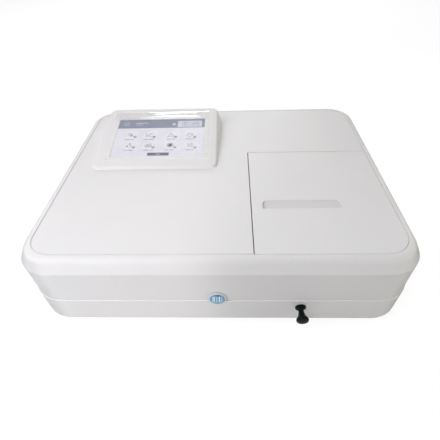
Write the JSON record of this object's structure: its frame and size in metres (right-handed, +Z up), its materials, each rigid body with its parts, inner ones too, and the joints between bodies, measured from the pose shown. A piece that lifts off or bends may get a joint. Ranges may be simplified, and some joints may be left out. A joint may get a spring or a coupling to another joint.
{
  "type": "spectrophotometer",
  "caption": "Low wide bench spectrophotometer with a flush sample lid, tilted touch screen and a pull rod that shifts the cell carriage.",
  "frame": {"origin": "on the table, under the middle of the whole object's box", "axes": "+X to the right along the wide front, +Y rearward, +Z up"},
  "size_m": [0.47, 0.4034, 0.146],
  "materials": {
    "case_plastic": "fine satin texture",
    "black_plastic": "satin",
    "gloss_black": "gloss",
    "screen_glass": "polished",
    "display": "lit screen face",
    "clear_film": "clear film",
    "steel": "brushed",
    "foam": "matt foam",
    "ribbon": "satin",
    "badge": "domed gloss",
    "quartz": "polished",
    "black_metal": "black anodised",
    "aluminium": "milled",
    "rubber": "matt",
    "mirror": "polished",
    "board": "solder resist",
    "panel_paint": "powder coat",
    "brass": "plain"
  },
  "bodies": {
    "case": {"base_shell": "case_plastic", "top_cover": "case_plastic", "screen_housing": "case_plastic", "lid_hinge_pins": "steel", "lid_seal": "foam", "touch_glass": "screen_glass", "screen_gasket": "foam", "display_module": "display", "screen_film": "clear_film", "screen_screws": "steel", "display_cable": "ribbon", "front_badge": "badge", "rod_bush": "black_plastic", "bush_nut": "steel", "sample_tub": "black_plastic", "beam_windows": "quartz", "guide_rods": "steel", "detent_plunger": "steel", "optical_plate": "aluminium", "plate_mounts": "rubber", "monochromator_cover": "black_metal", "slit_plates": "black_metal", "collimating_mirror": "mirror", "focusing_mirror": "mirror", "fold_mirror": "mirror", "monochromator_housing": "black_metal", "grating_motor": "black_metal", "lamp_house": "aluminium", "tungsten_lamp": "quartz", "deuterium_lamp": "quartz", "source_mirror_motor": "black_metal", "filter_wheel_motor": "black_metal", "lens_holder": "black_metal", "condenser_lens": "quartz", "detector_housing": "aluminium", "photodiode_board": "board", "main_board": "board", "power_supply": "aluminium", "rear_panel": "panel_paint", "mains_inlet": "black_plastic", "inlet_blades": "brass", "power_switch": "black_plastic", "usb_socket": "steel", "serial_socket": "steel", "fan_frame": "black_plastic", "fan_guard": "steel", "rear_screws": "steel", "rubber_feet": "rubber", "foot_screws": "steel", "case_screws": "steel"},
    "lid": {"sample_lid": "case_plastic"},
    "cell_changer": {"pull_knob": "gloss_black", "pull_rod": "steel", "cell_carriage": "black_metal"},
    "rocker": {"power_rocker": "gloss_black"},
    "fan": {"fan_rotor": "black_plastic"},
    "wheel": {"filter_wheel": "black_metal"},
    "grating_turntable": {"grating_table": "aluminium", "grating": "mirror"},
    "lamp_mirror": {"source_mirror": "mirror"}
  },
  "joints": [
    {"name": "lid_hinge", "type": "hinge", "parent": "case", "child": "lid", "pos_m": [0.131, 0.04, 0.1168], "axis": [-1, 0, 0], "range_deg": [0, 80]},
    {"name": "changer_slide", "type": "slide", "parent": "case", "child": "cell_changer", "axis": [0, -1, 0], "range_m": [0, 0.048]},
    {"name": "power_rocker_tip", "type": "hinge", "parent": "case", "child": "rocker", "pos_m": [0.062, 0.1962, 0.078], "axis": [1, 0, 0], "range_deg": [0, 14]},
    {"name": "fan_spin", "type": "hinge", "parent": "case", "child": "fan", "pos_m": [-0.105, 0.1932, 0.078], "axis": [0, 1, 0], "continuous": true},
    {"name": "filter_wheel_spin", "type": "hinge", "parent": "case", "child": "wheel", "pos_m": [-0.1385, 0.0027, 0.078], "axis": [1, 0, 0], "continuous": true},
    {"name": "grating_turn", "type": "hinge", "parent": "case", "child": "grating_turntable", "pos_m": [-0.085, -0.0423, 0.06], "axis": [0, 0, 1], "range_deg": [-25, 25]},
    {"name": "lamp_mirror_turn", "type": "hinge", "parent": "case", "child": "lamp_mirror", "pos_m": [-0.195, 0.0027, 0.06], "axis": [0, 0, 1], "range_deg": [0, 90]}
  ]
}
